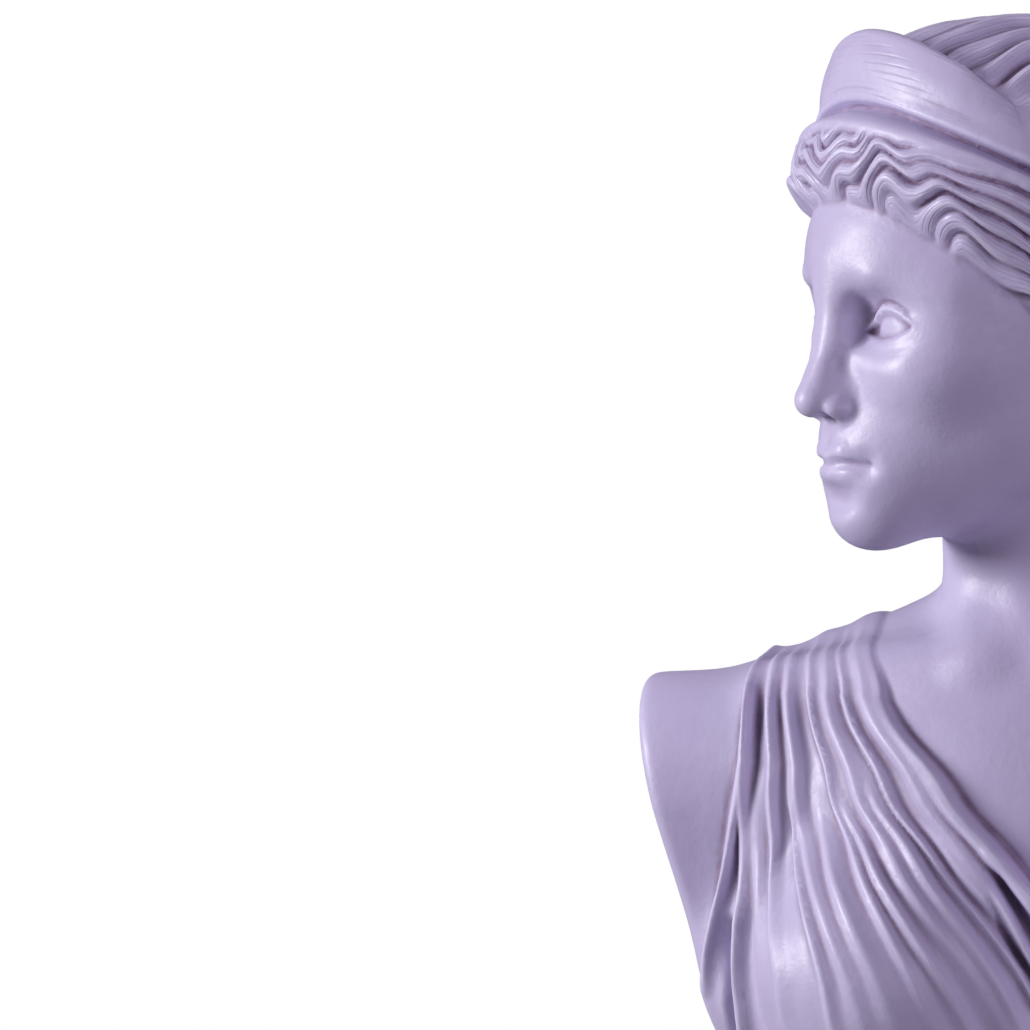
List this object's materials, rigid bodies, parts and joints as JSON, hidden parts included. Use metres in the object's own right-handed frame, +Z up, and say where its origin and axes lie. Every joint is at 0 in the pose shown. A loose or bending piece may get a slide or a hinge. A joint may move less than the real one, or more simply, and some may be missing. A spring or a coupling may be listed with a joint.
{
  "type": "goddess bust",
  "caption": "Draped bust of a classical goddess, head turned to her right, with diadem and knotted hair, on a turned socle with a square plinth.",
  "frame": {"origin": "centre of the plinth's underside", "axes": "+Z up the figure's height, -Y the way her chest faces, -X her right side"},
  "size_m": [0.1505, 0.0891, 0.2989],
  "materials": {
    "lavender_cast": "satin lavender paint on cast resin",
    "lavender_base": "satin lavender paint on cast resin"
  },
  "bodies": {
    "root": {"bust": "lavender_cast", "base": "lavender_base"}
  },
  "joints": []
}
